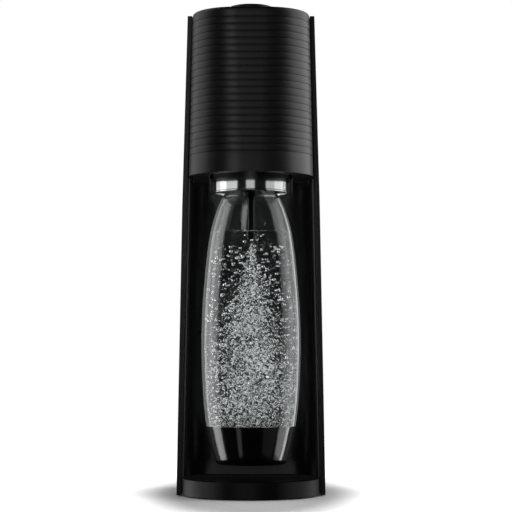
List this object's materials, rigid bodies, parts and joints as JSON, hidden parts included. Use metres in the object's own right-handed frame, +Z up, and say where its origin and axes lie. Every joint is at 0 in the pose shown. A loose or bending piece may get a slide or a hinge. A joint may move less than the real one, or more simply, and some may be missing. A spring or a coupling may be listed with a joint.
{
  "type": "soda carbonator",
  "caption": "Free-standing hand-operated soda carbonator with ribbed head, press button, tilting bottle holder, clear bottle and gas cylinder behind a lift-off back cover.",
  "frame": {"origin": "under the middle of the footprint, on the surface the feet rest on", "axes": "+Z up, -Y towards the user (bottle side), +X to the machine's left-to-right when seen from the front"},
  "size_m": [0.1312, 0.185, 0.43],
  "materials": {
    "black_shell_plastic": "satin moulded",
    "black_gloss_plastic": "glossy moulded",
    "dark_structural_plastic": "moulded, unpolished",
    "bottle_clear_plastic": "clear, glossy",
    "brushed_ring_steel": "brushed round",
    "plain_steel": "turned or drawn",
    "cylinder_aluminium": "satin lacquer",
    "valve_brass": "turned",
    "seal_rubber": "moulded",
    "lock_lever_plastic": "moulded"
  },
  "bodies": {
    "housing": {"base_deck": "black_shell_plastic", "base_pan": "dark_structural_plastic", "rubber_feet": "seal_rubber", "case_screws": "plain_steel", "left_side_panel": "black_shell_plastic", "right_side_panel": "black_shell_plastic", "bay_liner": "black_gloss_plastic", "top_cap": "black_shell_plastic", "head_cover": "black_shell_plastic", "head_floor": "dark_structural_plastic", "button_housing": "dark_structural_plastic", "button_spring": "plain_steel", "fulcrum_pin": "plain_steel", "valve_block": "dark_structural_plastic", "valve_block_seal": "seal_rubber", "cylinder_cradle": "dark_structural_plastic", "lock_lever_pins": "plain_steel", "chassis": "dark_structural_plastic", "chassis_screws": "plain_steel", "swivel_fitting": "valve_brass", "gas_line": "plain_steel", "holder_pins": "plain_steel"},
    "button": {"carbonation_button": "black_shell_plastic"},
    "lever": {"actuating_lever": "plain_steel"},
    "pin": {"valve_pin": "plain_steel"},
    "holder": {"holder_yoke": "black_gloss_plastic", "holder_ring": "brushed_ring_steel", "nozzle_body": "dark_structural_plastic", "bottle_seal": "seal_rubber", "tube_nut": "valve_brass", "carbonation_tube": "black_gloss_plastic", "relief_valve": "valve_brass", "nozzle_inlet_pipe": "valve_brass"},
    "bottle": {"bottle_shell": "bottle_clear_plastic", "bottle_base_cup": "black_gloss_plastic"},
    "cylinder": {"gas_cylinder": "cylinder_aluminium", "cylinder_valve": "valve_brass", "lifting_saddle": "dark_structural_plastic"},
    "lock_lever": {"cylinder_lock_lever": "lock_lever_plastic"},
    "cover": {"back_cover": "black_shell_plastic"},
    "latch": {"cover_latch": "black_gloss_plastic"}
  },
  "joints": [
    {"name": "button_press", "type": "slide", "parent": "housing", "child": "button", "axis": [0, 0, -1], "range_m": [0, 0.008], "stiffness_N_per_m": 600, "springref_m": -0.002, "deforming": ["button_spring"]},
    {"name": "lever_swing", "type": "hinge", "parent": "housing", "child": "lever", "pos_m": [0, 0.077, 0.398], "axis": [1, 0, 0], "range_deg": [0, 3.6]},
    {"name": "valve_pin_slide", "type": "slide", "parent": "cylinder", "child": "pin", "axis": [0, 0, -1], "range_m": [0, 0.0016]},
    {"name": "holder_tilt", "type": "hinge", "parent": "housing", "child": "holder", "pos_m": [0, 0, 0.306], "axis": [-1, 0, 0], "range_deg": [0, 20]},
    {"name": "bottle_release", "type": "slide", "parent": "holder", "child": "bottle", "axis": [0, 0, -1], "range_m": [0, 0.01]},
    {"name": "lock_lever_lift", "type": "hinge", "parent": "housing", "child": "lock_lever", "pos_m": [0, 0.052, 0.352], "axis": [1, 0, 0], "range_deg": [0, 85.2]},
    {"name": "cylinder_drop", "type": "slide", "parent": "housing", "child": "cylinder", "axis": [0, 0, -1], "range_m": [0, 0.005]},
    {"name": "cover_slide", "type": "slide", "parent": "housing", "child": "cover", "axis": [0, 1, 0], "range_m": [0, 0.12]},
    {"name": "latch_press", "type": "slide", "parent": "cover", "child": "latch", "axis": [0, -1, 0], "range_m": [0, 0.003], "stiffness_N_per_m": 800, "springref_m": -0.001}
  ],
  "couplings": [
    {"joint": "lever_swing", "follows": "button_press", "rad_per_m": 7.4074},
    {"joint": "valve_pin_slide", "follows": "button_press", "ratio": 0.18519},
    {"joint": "lock_lever_lift", "follows": "cylinder_drop", "rad_per_m": 296.7}
  ]
}
